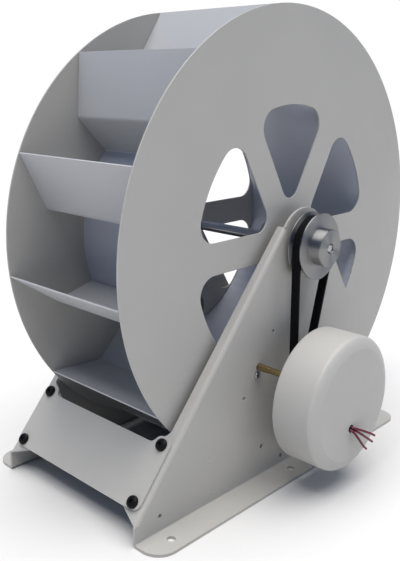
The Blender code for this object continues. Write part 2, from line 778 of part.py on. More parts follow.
def lead_grommet(machine, finish):
    floor = GENERATOR_FRONT - GROMMET_DEPTH
    profile = [(0, GENERATOR_FRONT), (GROMMET_R, GENERATOR_FRONT), (GROMMET_R, floor), (0, floor)]
    obj = turned("lead_grommet", profile, SMALL_STEPS, machine, finish)
    obj.location = (*LEAD_HOLE, 0)
    return obj


def pillars(stator, finish):
    """Stepped pillars from the near plate's face to the housing's back."""
    root = STAND_MID + PLATE_FACE + GAP
    end = GENERATOR_BACK - GAP
    profile = [
        (0, end),
        (PILLAR_THIN_R, end),
        (PILLAR_THIN_R, PILLAR_STEP),
        (PILLAR_R, PILLAR_STEP),
        (PILLAR_R, root),
        (0, root),
    ]
    for number in range(PILLARS):
        obj = turned(f"generator_pillar_{number + 1}", profile, SMALL_STEPS, stator, finish)
        obj.location = (*polar(PILLAR_CIRCLE_R, PILLAR_TURN + number * math.tau / PILLARS), 0)


def plate_screw(plate, stand, finish):
    """A small pan-head screw in the near plate beside a pillar."""
    seat = PLATE_FACE + GAP
    crown = (PLATE_SCREW_HEAD_R - PLATE_SCREW_ROUND, seat + PLATE_SCREW_HEAD - PLATE_SCREW_ROUND)
    profile = [
        (0, seat + PLATE_SCREW_HEAD),
        *arc(crown, PLATE_SCREW_ROUND, math.pi / 2, 0, 3),
        (PLATE_SCREW_HEAD_R, seat),
        (PLATE_SCREW_SHANK_R, seat),
        (PLATE_SCREW_SHANK_R, seat - PLATE_SCREW_LENGTH),
        (0, seat - PLATE_SCREW_LENGTH),
    ]
    obj = turned("plate_screw", profile, SMALL_STEPS, stand, finish)
    obj.location = (*PLATE_SCREW, 0)
    low = PLATE_FACE - SHEET - PAST
    hole_r = PLATE_SCREW_SHANK_R + GAP
    drill(plate, "screw_hole", stand, [PLATE_SCREW], hole_r, low, PLATE_FACE + PAST, HOLE_STEPS)
    return obj


def bezier(start, leave, arrive, end, count):
    """Points of one smooth curve that leaves the start and reaches the end along its two handles."""
    points = []
    for i in range(count):
        t = i / (count - 1)
        blend = ((1 - t) ** 3, 3 * t * (1 - t) ** 2, 3 * t * t * (1 - t), t**3)
        points.append(sum((w * p for w, p in zip(blend, (start, leave, arrive, end))), Vector()))
    return points


def lead_route(number):
    """A lead comes straight out of the grommet and droops to the right."""
    ring = polar(LEAD_RING_R, math.pi / 2 + number * math.tau / len(LEAD_ENDS))
    start = Vector((*LEAD_HOLE, GENERATOR_FRONT + GAP)) + Vector((*ring, 0))
    end = Vector(LEAD_ENDS[number])
    leave = start + Vector((0, 0, LEAD_STRAIGHT))
    arrive = end + Vector(LEAD_DROOP)
    return bezier(start, leave, arrive, end, LEAD_POINTS)


def leads(machine, finish):
    for number in range(len(LEAD_ENDS)):
        name = f"lead_{number + 1}"
        curve = bpy.data.curves.new(name, "CURVE")
        curve.dimensions = "3D"
        curve.bevel_depth = LEAD_R
        curve.bevel_resolution = 2
        curve.use_fill_caps = True
        spline = curve.splines.new("POLY")
        spline.points.add(LEAD_POINTS - 1)
        for point, place in zip(spline.points, lead_route(number)):
            point.co = (*place, 1)
        add_object(name, curve, machine, finish)


def make_frames():
    """The empties that carry the pieces: the machine, its stand, the axes and the two covers' planes."""
    machine = frame_empty("machine", None, axes_matrix((0, MID_Y, 0), (1, 0, 0), (0, 0, 1)))
    stand = frame_empty("stand", machine, Matrix.Translation((0, 0, STAND_MID)))
    slope = Vector((math.cos(FRONT_SLOPE), math.sin(FRONT_SLOPE), 0))
    outward = Vector((-slope.y, slope.x, 0))
    axle = Vector((0, AXLE_HEIGHT, 0))
    tangent = axle + outward * (HEAD_R + FOLD_STEP)
    rear = (FOOT_REAR + FOLD_STEP, 0, 0)
    rotor = Matrix.Translation((GENERATOR_X, GENERATOR_HEIGHT, 0))
    return {
        "machine": machine,
        "stand": stand,
        "wheel_axis": frame_empty("wheel_axis", machine, Matrix.Translation(axle)),
        "bearing_axis": frame_empty("bearing_axis", stand, Matrix.Translation(axle)),
        "rotor_axis": frame_empty("rotor_axis", machine, rotor),
        "stator_axis": frame_empty("stator_axis", machine, rotor),
        "front_slope": frame_empty("front_slope", stand, axes_matrix(tangent, (0, 0, 1), slope)),
        "rear_edge": frame_empty("rear_edge", stand, axes_matrix(rear, (0, 0, -1), (0, 1, 0))),
        "floor": frame_empty("floor", stand, axes_matrix((0, 0, 0), (1, 0, 0), (0, 0, -1))),
    }


def make_stand(frames, finishes):
    paint = finishes["white_paint"]
    for name, side in (("near", 1), ("far", -1)):
        plate = side_plate(f"side_plate_{name}", side, frames, paint)
        drill_side_plate(plate, side, frames)
        if side > 0:
            plate_screw(plate, frames["stand"], finishes["steel"])
        bearing(f"bearing_{name}", side, frames["bearing_axis"], finishes["steel"])
    front_cover(frames, paint)
    rear_cover(frames, paint)
    cover_screws(frames, finishes["black_steel"])


def make_wheel(wheel, finishes):
    paint = finishes["white_paint"]
    for name, side in (("near", 1), ("far", -1)):
        disc(f"disc_{name}", side, wheel, paint)
        hub(f"hub_{name}", side, wheel, finishes["steel"])
    drum(wheel, paint)
    buckets(wheel, paint)
    wheel_shaft(wheel, finishes["steel"])
    drive_pulley(wheel, finishes["aluminium"])


def make_generator(frames, finishes):
    stator = frames["stator_axis"]
    machine = frames["machine"]
    generator_housing(machine, stator, finishes["housing_paint"])
    pillars(stator, finishes["brass"])
    lead_grommet(machine, finishes["belt_rubber"])
    leads(machine, finishes["lead_sleeve"])
    generator_shaft(frames["rotor_axis"], finishes["steel"])
    small_pulley(frames["rotor_axis"], finishes["aluminium"])


def main():
    clear_scene()
    finishes = make_materials()
    frames = make_frames()
    make_stand(frames, finishes)
    make_wheel(frames["wheel_axis"], finishes)
    make_generator(frames, finishes)
    drive_belt(frames["machine"], finishes["belt_rubber"])


main()
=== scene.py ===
"""The looks of the micro hydro generator: finishes, soft edges, small fittings, leads, camera and light.

Pieces are drawn in the machine frame, as seen from the near side of the wheel: X to the right, Y up
and Z out towards the near side, from the wheel's mid-plane on the floor.
"""

import math

import bmesh
import bpy
from mathutils import Matrix, Vector


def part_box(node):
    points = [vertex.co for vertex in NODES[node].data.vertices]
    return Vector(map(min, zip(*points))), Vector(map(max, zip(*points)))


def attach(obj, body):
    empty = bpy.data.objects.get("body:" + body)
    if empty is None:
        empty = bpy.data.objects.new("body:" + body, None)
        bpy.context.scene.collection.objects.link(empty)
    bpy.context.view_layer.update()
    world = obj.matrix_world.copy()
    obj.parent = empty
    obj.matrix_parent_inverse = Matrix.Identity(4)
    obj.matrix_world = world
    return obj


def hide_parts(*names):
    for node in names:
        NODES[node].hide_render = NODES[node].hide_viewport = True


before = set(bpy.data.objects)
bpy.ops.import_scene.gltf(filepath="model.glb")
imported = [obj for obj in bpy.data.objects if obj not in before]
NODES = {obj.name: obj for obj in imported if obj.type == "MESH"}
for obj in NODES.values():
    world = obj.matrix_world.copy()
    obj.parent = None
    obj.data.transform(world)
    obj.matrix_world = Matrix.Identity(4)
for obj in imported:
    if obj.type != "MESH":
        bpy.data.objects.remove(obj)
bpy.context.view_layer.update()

# Places read from the frame
DISC_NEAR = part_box("disc_near")
DISC_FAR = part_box("disc_far")
MID_Y = (DISC_NEAR[0].y + DISC_FAR[1].y) / 2
AXLE_HEIGHT = (DISC_NEAR[0].z + DISC_NEAR[1].z) / 2
WHEEL_R = (DISC_NEAR[1].z - DISC_NEAR[0].z) / 2
DISC_FACE = MID_Y - DISC_NEAR[0].y
DISC_THICK = DISC_NEAR[1].y - DISC_NEAR[0].y
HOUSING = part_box("generator_housing")
HOUSING_X = (HOUSING[0].x + HOUSING[1].x) / 2
HOUSING_HEIGHT = (HOUSING[0].z + HOUSING[1].z) / 2
HOUSING_R = (HOUSING[1].x - HOUSING[0].x) / 2
HOUSING_FRONT = MID_Y - HOUSING[0].y
HOUSING_BACK = MID_Y - HOUSING[1].y
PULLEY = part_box("drive_pulley")
PULLEY_BACK = MID_Y - PULLEY[1].y
PULLEY_HUB_FACE = MID_Y - PULLEY[0].y
PULLEY_FLANGE_R = (PULLEY[1].x - PULLEY[0].x) / 2

# Counts of the frame's repeated nodes
BUCKETS = 12
COVER_SCREWS = 4
PILLARS = 3

# The gap between pieces that touch
GAP = 0.0003
PLATE_FACE = MID_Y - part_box("generator_pillar_1")[1].y - GAP

# Camera, in the machine frame, as the photograph was taken
CAMERA_PLACE = Vector((-0.6508, 0.4234, 0.5646))
CAMERA_AZIMUTH = math.radians(-46.8)
CAMERA_PITCH = math.radians(14.7)
CAMERA_ROLL = math.radians(0.947)
CAMERA_SENSOR = 36.0
CAMERA_LENS = 46.71
CAMERA_NEAR = 0.05
CAMERA_FAR = 50

# Room and light
FLOOR_SIZE = 60
FLOOR_DROP = 0.0002
FLOOR_COLOUR = (0.670, 0.665, 0.655)
FLOOR_ROUGHNESS = 0.8
FLOOR_SPECULAR = 0.1
BACKDROP_COLOUR = (1.0, 1.0, 1.0)
SKY_COLOUR = (0.50, 0.66, 1.0)
SKY_STRENGTH = 0.34
SUN_COLOUR = (1.0, 0.965, 0.915)
SUN_STRENGTH = 4.4
SUN_ANGLE = math.radians(66)
SUN_FROM = Vector((-0.02, -0.05, 1.0))
GLOSS_PLACE = Vector((-1.0, -0.35, 1.55))
GLOSS_SIZE = 0.2
GLOSS_POWER = 2.0

# Finishes
WHITE = (0.425, 0.414, 0.389)
# The buckets' white is bluer than the plates': a painted bluish shade for their shaded insides
BUCKET_WHITE_WITH_PAINTED_SHADE = (0.435, 0.441, 0.456)
# The drum's white is lighter and bluer than the plates': painted bluish shade light for the dim inside
# of the wheel
DRUM_WHITE_WITH_PAINTED_SHADE = (0.452, 0.475, 0.545)
PAINT_ROUGHNESS = 0.42
HOUSING_WHITE = (0.455, 0.446, 0.424)
HOUSING_ROUGHNESS = 0.5
ALUMINIUM = (0.29, 0.29, 0.292)
ALUMINIUM_ROUGHNESS = 0.4
ALUMINIUM_STRETCH = 0.95
QUARTER_TURN = 0.25
SMALL_ALUMINIUM = (0.72, 0.73, 0.74)
STEEL = (0.42, 0.42, 0.43)
BRASS = (0.30, 0.225, 0.105)
METAL_ROUGHNESS = 0.3
BLACK_STEEL = (0.006, 0.006, 0.0065)
BLACK_STEEL_ROUGHNESS = 0.34
BELT_BLACK = (0.003, 0.003, 0.004)
BELT_ROUGHNESS = 0.6
BLACK_SPECULAR = 0.12
LEAD_RED = (0.13, 0.006, 0.028)
LEAD_ROUGHNESS = 0.38

# The range in which most of a noise's values lie
NOISE_LOW = 0.3
NOISE_HIGH = 0.7

# Edges and joins of meshes
SMOOTH_ANGLE = math.radians(35)
WELD_DISTANCE = 0.000005
SHEET_EDGE = 0.0005
PLATE_EDGE = 0.0004
SCREW_EDGE = 0.0003
PILLAR_EDGE = 0.0002

# Discs of the wheel
DISC_STEPS = 256
DISC_BORE_R = 0.0063
DISC_BORE_STEPS = 48
WINDOWS = 6
WINDOW_TURN = math.radians(31.1)
WINDOW_OUTER_R = 0.149
WINDOW_CORNER_R = 0.020
WINDOW_TIP_R = 0.015
WINDOW_CORNER_STEPS = 14
WINDOW_ARC_STEPS = 16
SPOKE_HALF = 0.0168

# Drive pulley
PULLEY_STEPS = 128
PULLEY_EDGE = 0.0004
PULLEY_BODY_R = 0.0300
PULLEY_BORE_R = 0.0043
PULLEY_HUB_R = 0.0205
PULLEY_FRONT = 0.1315
PULLEY_FLANGE = 0.0018
CENTRE_R = 0.0058
CENTRE_DEPTH = 0.0016
TEETH = 40
TOOTH_DEPTH = 0.0012
TOOTH_HALF_TOP = 0.27
TOOTH_HALF_ROOT = 0.18
RIM_LAP = 0.0002
RIM_SEAT = 0.0005
RIM_EDGE = 0.0001
RIM_STEPS = 80

# Set screw in the pulley's hub
GRUB_OUT = 0.138
GRUB_STEPS = 32
GRUB_HOLE_R = 0.0022
GRUB_HOLE_DEPTH = 0.006
GRUB_HOLE_RISE = 0.003
GRUB_R = 0.00195
GRUB_EDGE = 0.0003
GRUB_SUNK = 0.0006
GRUB_LIFT = 0.0002
SOCKET_R = 0.0010
SOCKET_DEPTH = 0.0012
SOCKET_POINT = 0.0015

# Rivets in the near side plate
RIVETS = ((-0.1457, 0.0579), (-0.1462, 0.0513), (-0.1429, 0.0140))
RIVET_STEPS = 20
RIVET_R = 0.0015
RIVET_RISE = 0.0005
RIVET_FOOT = 0.00002
RIVET_TOP_SHARE = 0.7
RIVET_SHOULDER_SHARE = 0.8

# Generator
HOUSING_STEPS = 192
SHOULDER_WIDTH = 0.0125
SHOULDER_HEIGHT = 0.0085
SHOULDER_TURN = math.radians(62)
SHOULDER_STEPS = 14
CREASE_ANGLE = math.radians(9)
BACK_ROUND = 0.004
BACK_ROUND_STEPS = 8
ROTOR_BORE_R = 0.0043
ROTOR_BORE_END = HOUSING_BACK + 0.0216

# Leads
LEAD_HOLE = (-0.0200, 0.0760)
LEAD_HOLE_R = 0.0045
LEAD_HOLE_DEPTH = 0.0053
LEAD_HOLE_RISE = 0.01
LEAD_HOLE_STEPS = 40
LEAD_R = 0.0013
LEAD_RING_R = 0.0019
LEAD_POINTS = 15
LEAD_ENDS = (
    (0.0075, 0.0632, 0.2100),
    (-0.0045, 0.0510, 0.2080),
    (0.0060, 0.0560, 0.2085),
)
LEAD_LEAVE = Vector((0, 0, 0.007))
LEAD_DROOP = Vector((-0.0085, 0.0062, -0.0005))


def axes_matrix(origin, x_axis, y_axis):
    """The frame at the origin whose X and Y axes point along the two given directions."""
    x_axis = Vector(x_axis)
    y_axis = Vector(y_axis)
    turn = Matrix((x_axis, y_axis, x_axis.cross(y_axis))).transposed()
    return Matrix.Translation(origin) @ turn.to_4x4()


MACHINE = axes_matrix((0, MID_Y, 0), (1, 0, 0), (0, 0, 1))
AXLE = MACHINE @ Matrix.Translation((0, AXLE_HEIGHT, 0))
GRUB_IN_AXLE = axes_matrix((0, 0, GRUB_OUT), (1, 0, 0), (0, 0, -1))
GRUB_AXIS = AXLE @ GRUB_IN_AXLE
STATOR = MACHINE @ Matrix.Translation((HOUSING_X, HOUSING_HEIGHT, 0))


# Camera

def camera_turn():
    """The camera's axes from its azimuth, pitch and roll."""
    level = math.cos(CAMERA_PITCH)
    back_x = math.sin(CAMERA_AZIMUTH) * level
    back_y = -math.cos(CAMERA_AZIMUTH) * level
    back = Vector((back_x, back_y, math.sin(CAMERA_PITCH)))
    level_right = Vector((0, 0, 1)).cross(back).normalized()
    level_up = back.cross(level_right)
    right = level_right * math.cos(CAMERA_ROLL) + level_up * math.sin(CAMERA_ROLL)
    up = level_up * math.cos(CAMERA_ROLL) - level_right * math.sin(CAMERA_ROLL)
    return Matrix((right, up, back)).transposed().to_4x4()


def make_camera():
    data = bpy.data.cameras.new("camera")
    data.lens = CAMERA_LENS
    data.sensor_width = CAMERA_SENSOR
    data.clip_start = CAMERA_NEAR
    data.clip_end = CAMERA_FAR
    camera = bpy.data.objects.new("camera", data)
    bpy.context.scene.collection.objects.link(camera)
    camera.matrix_world = Matrix.Translation(MACHINE @ CAMERA_PLACE) @ camera_turn()
    bpy.context.scene.camera = camera


# Node materials

class Shader:
    """A Principled material that is built node by node."""

    def __init__(self, name, colour, roughness, metallic=0.0):
        self.colour = colour
        self.roughness = roughness
        self.material = bpy.data.materials.new(name)
        self.material.use_nodes = True
        self.tree = self.material.node_tree
        self.principled = self.tree.nodes["Principled BSDF"]
        self.set("Base Color", (*colour, 1))
        self.set("Roughness", roughness)
        self.set("Metallic", metallic)
        self.material.diffuse_color = (*colour, 1)

    def set(self, socket, value):
        self.principled.inputs[socket].default_value = value

    def drive(self, socket, source):
        """The socket takes its value from another node."""
        self.link(source, self.principled.inputs[socket])

    def node(self, kind, **settings):
        made = self.tree.nodes.new(kind)
        for key, value in settings.items():
            setattr(made, key, value)
        return made

    def link(self, source, target):
        self.tree.links.new(source, target)

    def place(self):
        return self.node("ShaderNodeTexCoord").outputs["Object"]

    def split_place(self):
        """The place's X, Y and Z, each on its own."""
        split = self.node("ShaderNodeSeparateXYZ")
        self.link(self.place(), split.inputs[0])
        return split.outputs

    def noise(self, scale, detail=3.0, roughness=0.55, where=None):
        made = self.node("ShaderNodeTexNoise")
        made.inputs["Scale"].default_value = scale
        made.inputs["Detail"].default_value = detail
        made.inputs["Roughness"].default_value = roughness
        self.link(where or self.place(), made.inputs["Vector"])
        return made.outputs["Fac"]

    def ramp(self, noise, low, high):
        """A noise's usual values spread over a range of their own."""
        made = self.node("ShaderNodeMapRange")
        made.inputs["From Min"].default_value = NOISE_LOW
        made.inputs["From Max"].default_value = NOISE_HIGH
        made.inputs["To Min"].default_value = low
        made.inputs["To Max"].default_value = high
        self.link(noise, made.inputs["Value"])
        return made.outputs["Result"]

    def subtract(self, source, value):
        made = self.node("ShaderNodeMath", operation="SUBTRACT")
        self.link(source, made.inputs[0])
        made.inputs[1].default_value = value
        return made.outputs[0]

    def reach(self, across, up):
        """The distance from an axis, as a vector's X."""
        flat = self.node("ShaderNodeCombineXYZ")
        self.link(across, flat.inputs["X"])
        self.link(up, flat.inputs["Y"])
        length = self.node("ShaderNodeVectorMath", operation="LENGTH")
        self.link(flat.outputs[0], length.inputs[0])
        made = self.node("ShaderNodeCombineXYZ")
        self.link(length.outputs["Value"], made.inputs["X"])
        return made.outputs[0]

    def mix(self, factor, first, second):
        made = self.node("ShaderNodeMix", data_type="RGBA")
        self.link(factor, made.inputs["Factor"])
        made.inputs["A"].default_value = (*first, 1)
        made.inputs["B"].default_value = (*second, 1)
        return made.outputs["Result"]

    def bump(self, height, distance, strength):
        made = self.node("ShaderNodeBump")
        made.inputs["Strength"].default_value = strength
        made.inputs["Distance"].default_value = distance
        self.link(height, made.inputs["Height"])
        self.drive("Normal", made.outputs["Normal"])

    def toned(self, share):
        """The colour made darker or lighter."""
        return tuple(part * share for part in self.colour)

    def vary_tone(self, source, darkest, lightest):
        """The colour goes from its darkest share to its lightest as the source goes from 0 to 1."""
        self.drive("Base Color", self.mix(source, self.toned(darkest), self.toned(lightest)))

    def vary_gloss(self, noise, less, more):
        """The roughness goes from less to more than its own value as the noise changes."""
        self.drive("Roughness", self.ramp(noise, self.roughness - less, self.roughness + more))


def paint(name, colour, roughness):
    """Powder coat: slow changes of tone, changes of gloss, and a faint orange peel."""
    made = Shader(name, colour, roughness)
    tone = made.ramp(made.noise(scale=7.0, detail=2.0), 0.0, 1.0)
    made.vary_tone(tone, darkest=0.955, lightest=1.02)
    made.vary_gloss(made.noise(scale=60.0, detail=4.0), less=0.05, more=0.06)
    made.bump(made.noise(scale=900.0, detail=2.0), distance=0.00004, strength=0.5)
    return made.material


def rubber(name, colour, roughness):
    """A dull black with a fine grain."""
    made = Shader(name, colour, roughness)
    made.set("Specular IOR Level", BLACK_SPECULAR)
    made.vary_gloss(made.noise(scale=400.0), less=0.1, more=0.1)
    made.bump(made.noise(scale=2500.0, detail=4.0), distance=0.00006, strength=0.6)
    return made.material


def sleeve(name, colour, roughness):
    """Soft insulation with small changes of tone."""
    made = Shader(name, colour, roughness)
    made.vary_tone(made.noise(scale=250.0), darkest=0.8, lightest=1.1)
    made.bump(made.noise(scale=1800.0), distance=0.00003, strength=0.5)
    return made.material


def add_rings(made, across, up):
    """Tone, gloss and grooves that change with the distance from an axis alone."""
    rings = made.noise(scale=1100.0, detail=2.0, roughness=0.6, where=made.reach(across, up))
    made.vary_gloss(rings, less=0.05, more=0.08)
    made.vary_tone(made.ramp(rings, 0.0, 1.0), darkest=0.88, lightest=1.08)
    made.bump(rings, distance=0.00003, strength=0.35)


def turned_metal(name, colour, roughness, centre_x, centre_height):
    """Metal with the fine rings that a lathe leaves round the given axis."""
    made = Shader(name, colour, roughness, metallic=1.0)
    place = made.split_place()
    across = made.subtract(place["X"], centre_x)
    up = made.subtract(place["Z"], centre_height)
    add_rings(made, across, up)
    return made.material


def lathe_finish(name, colour, roughness):
    """Bright turned metal for a piece drawn round its own Z axis: gloss drawn out across the rings."""
    made = Shader(name, colour, roughness, metallic=1.0)
    made.set("Anisotropic", ALUMINIUM_STRETCH)
    made.set("Anisotropic Rotation", QUARTER_TURN)
    along = made.node("ShaderNodeTangent", direction_type="RADIAL", axis="Z")
    made.drive("Tangent", along.outputs["Tangent"])
    place = made.split_place()
    add_rings(made, place["X"], place["Y"])
    return made.material


def make_materials():
    axle = (0.0, AXLE_HEIGHT)
    stator = (HOUSING_X, HOUSING_HEIGHT)
    return {
        "white_paint": paint("white_paint", WHITE, PAINT_ROUGHNESS),
        # The buckets' paint holds a painted bluish shade
        "bucket_paint_with_painted_shade": paint("bucket_paint_with_painted_shade", BUCKET_WHITE_WITH_PAINTED_SHADE, PAINT_ROUGHNESS),
        # The drum's paint holds painted bluish shade light
        "drum_paint_with_painted_shade": paint("drum_paint_with_painted_shade", DRUM_WHITE_WITH_PAINTED_SHADE, PAINT_ROUGHNESS),
        "housing_paint": paint("housing_paint", HOUSING_WHITE, HOUSING_ROUGHNESS),
        "aluminium": lathe_finish("aluminium", ALUMINIUM, ALUMINIUM_ROUGHNESS),
        "small_aluminium": turned_metal("small_aluminium", SMALL_ALUMINIUM, METAL_ROUGHNESS, *stator),
        "steel": turned_metal("steel", STEEL, METAL_ROUGHNESS, *axle),
        "black_steel": rubber("black_steel", BLACK_STEEL, BLACK_STEEL_ROUGHNESS),
        "brass": turned_metal("brass", BRASS, METAL_ROUGHNESS, *stator),
        "belt_rubber": rubber("belt_rubber", BELT_BLACK, BELT_ROUGHNESS),
        "lead_sleeve": sleeve("lead_sleeve", LEAD_RED, LEAD_ROUGHNESS),
    }


# Outlines

def arc(centre, radius, start, end, steps):
    turns = [start + (end - start) * i / steps for i in range(steps + 1)]
    return [(centre[0] + radius * math.cos(a), centre[1] + radius * math.sin(a)) for a in turns]


def circle(radius, steps):
    return arc((0, 0), radius, 0, math.tau, steps)[:-1]


def window_outline(turn):
    """One window: an arc near the drum, sides parallel to the two spokes, and a round tip."""
    half_sector = math.pi / WINDOWS
    tip = (SPOKE_HALF + WINDOW_TIP_R) / math.sin(half_sector)
    corner_far = WINDOW_OUTER_R - WINDOW_CORNER_R
    corner_turn = half_sector - math.asin((SPOKE_HALF + WINDOW_CORNER_R) / corner_far)
    low = (corner_far * math.cos(corner_turn), -corner_far * math.sin(corner_turn))
    high = (low[0], -low[1])
    side = math.pi / 2 + half_sector
    points = arc((tip, 0), WINDOW_TIP_R, side, math.tau - side, WINDOW_CORNER_STEPS)
    points += arc(low, WINDOW_CORNER_R, -side, -corner_turn, WINDOW_CORNER_STEPS)
    points += arc((0, 0), WINDOW_OUTER_R, -corner_turn, corner_turn, WINDOW_ARC_STEPS)[1:-1]
    points += arc(high, WINDOW_CORNER_R, corner_turn, side, WINDOW_CORNER_STEPS)
    rotation = Matrix.Rotation(turn, 2)
    return [tuple(rotation @ Vector(point)) for point in points]


def toothed_outline(radius_top, radius_root, teeth):
    """The outline of a toothed rim: each tooth has a flat top and narrower root gaps."""
    pitch = math.tau / teeth
    corners = (
        (-0.5 + TOOTH_HALF_ROOT, radius_root),
        (-TOOTH_HALF_TOP, radius_top),
        (TOOTH_HALF_TOP, radius_top),
        (0.5 - TOOTH_HALF_ROOT, radius_root),
    )
    points = []
    for tooth in range(teeth):
        for share, radius in corners:
            angle = (tooth + share) * pitch
            points.append((radius * math.cos(angle), radius * math.sin(angle)))
    return points


# Meshes and objects

def linked(name, data):
    obj = bpy.data.objects.new(name, data)
    bpy.context.scene.collection.objects.link(obj)
    return obj


def level_faces(obj):
    """Keeps large flat faces flat to the eye beside their rounded edges."""
    normals = obj.modifiers.new("normals", "WEIGHTED_NORMAL")
    normals.keep_sharp = True


def add(name, data, matrix, body, finish, nodes=()):
    """Links a finished piece, which rides on a body and may stand for CAD nodes."""
    obj = linked(name, data)
    obj.matrix_world = matrix
    data.materials.clear()
    data.materials.append(finish)
    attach(obj, body)
    if nodes:
        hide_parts(*nodes)
    if obj.type == "MESH":
        level_faces(obj)
    return obj


def mesh_of(obj, angle=SMOOTH_ANGLE):
    """A welded mesh of the object's evaluated shape, with smooth round faces; the object goes."""
    bpy.context.view_layer.update()
    graph = bpy.context.evaluated_depsgraph_get()
    mesh = bpy.data.meshes.new_from_object(obj.evaluated_get(graph))
    bpy.data.objects.remove(obj)
    shape = bmesh.new()
    shape.from_mesh(mesh)
    bmesh.ops.remove_doubles(shape, verts=shape.verts, dist=WELD_DISTANCE)
    bmesh.ops.recalc_face_normals(shape, faces=shape.faces)
    shape.to_mesh(mesh)
    shape.free()
    mesh.shade_smooth()
    mesh.set_sharp_from_angle(angle=angle)
    return mesh


def sheet_mesh(outlines, low, high, edge=SHEET_EDGE):
    """A sheet between two heights of Z with softened edges: the first outline, the others as holes."""
    curve = bpy.data.curves.new("sheet", "CURVE")
    curve.dimensions = "2D"
    curve.fill_mode = "BOTH"
    curve.extrude = (high - low) / 2 - edge
    curve.bevel_depth = edge
    curve.bevel_resolution = 1
    curve.offset = -edge
    for outline in outlines:
        spline = curve.splines.new("POLY")
        spline.points.add(len(outline) - 1)
        for point, (x, y) in zip(spline.points, outline):
            point.co = (x, y, 0, 1)
        spline.use_cyclic_u = True
    mesh = mesh_of(linked("sheet", curve))
    mesh.transform(Matrix.Translation((0, 0, (low + high) / 2)))
    return mesh


def turned_mesh(profile, steps):
    """A turned piece about Z from (radius, height) points; a profile off the axis closes on itself."""
    mesh = bpy.data.meshes.new("profile")
    edges = [(i, i + 1) for i in range(len(profile) - 1)]
    if profile[0][0] > 0:
        edges.append((len(profile) - 1, 0))
    mesh.from_pydata([(radius, 0, height) for radius, height in profile], edges, [])
    obj = linked("profile", mesh)
    screw = obj.modifiers.new("turn", "SCREW")
    screw.steps = steps
    screw.render_steps = steps
    screw.use_merge_vertices = True
    screw.merge_threshold = WELD_DISTANCE
    return mesh_of(obj)


def plug_mesh(radius, low, high, steps):
    """A plain round bar about Z, to cut a hole with."""
    return turned_mesh([(0, high), (radius, high), (radius, low), (0, low)], steps)


def cut(mesh, hole, matrix, angle=SMOOTH_ANGLE):
    """The mesh with the hole's shape taken out of it; the matrix places the hole."""
    solid = linked("solid", mesh)
    cutter = linked("cutter", hole)
    cutter.matrix_world = matrix
    join = solid.modifiers.new("hole", "BOOLEAN")
    join.operation = "DIFFERENCE"
    join.object = cutter
    made = mesh_of(solid, angle)
    bpy.data.objects.remove(cutter)
    return made


def carry_over(name, finish, edge=0.0):
    """A CAD node that keeps its shape, with its finish and softened edges."""
    obj = NODES[name]
    obj.data.materials.clear()
    obj.data.materials.append(finish)
    weld = obj.modifiers.new("weld", "WELD")
    weld.merge_threshold = WELD_DISTANCE
    if edge:
        bevel = obj.modifiers.new("edges", "BEVEL")
        bevel.width = edge
        bevel.segments = 2
        bevel.limit_method = "ANGLE"
        bevel.angle_limit = SMOOTH_ANGLE
        level_faces(obj)


# Leads

def bezier(start, leave, arrive, end, count):
    points = []
    for i in range(count):
        t = i / (count - 1)
        blend = ((1 - t) ** 3, 3 * t * (1 - t) ** 2, 3 * t * t * (1 - t), t**3)
        points.append(sum((w * p for w, p in zip(blend, (start, leave, arrive, end))), Vector()))
    return points


def lead_route(number):
    """A lead comes straight out of the grommet and droops to the right."""
    angle = math.pi / 2 + number * math.tau / len(LEAD_ENDS)
    ring = Vector((math.cos(angle), math.sin(angle), 0)) * LEAD_RING_R
    start = Vector((*LEAD_HOLE, HOUSING_FRONT + GAP)) + ring
    end = Vector(LEAD_ENDS[number])
    return bezier(start, start + LEAD_LEAVE, end + LEAD_DROOP, end, LEAD_POINTS)


def lead_curve(name, points):
    curve = bpy.data.curves.new(name, "CURVE")
    curve.dimensions = "3D"
    curve.bevel_depth = LEAD_R
    curve.bevel_resolution = 6
    curve.use_fill_caps = True
    spline = curve.splines.new("POLY")
    spline.points.add(len(points) - 1)
    for point, place in zip(spline.points, points):
        point.co = (*place, 1)
    return curve


def make_leads(finish):
    for number in range(len(LEAD_ENDS)):
        points = [MACHINE @ point for point in lead_route(number)]
        name = f"lead_sleeve_{number + 1}"
        curve = lead_curve(name, points)
        node = f"lead_{number + 1}"
        obj = add(name, curve, Matrix.Identity(4), "frame", finish, (node,))


# Wheel

def make_discs(finish):
    outlines = [circle(WHEEL_R, DISC_STEPS), circle(DISC_BORE_R, DISC_BORE_STEPS)]
    outlines += [window_outline(WINDOW_TURN + i * math.tau / WINDOWS) for i in range(WINDOWS)]
    for name, side in (("near", 1), ("far", -1)):
        low, high = sorted((side * DISC_FACE, side * (DISC_FACE - DISC_THICK)))
        mesh = sheet_mesh(outlines, low, high)
        add(f"wheel_disc_{name}", mesh, AXLE, "wheel", finish, (f"disc_{name}",))


# Belt drive

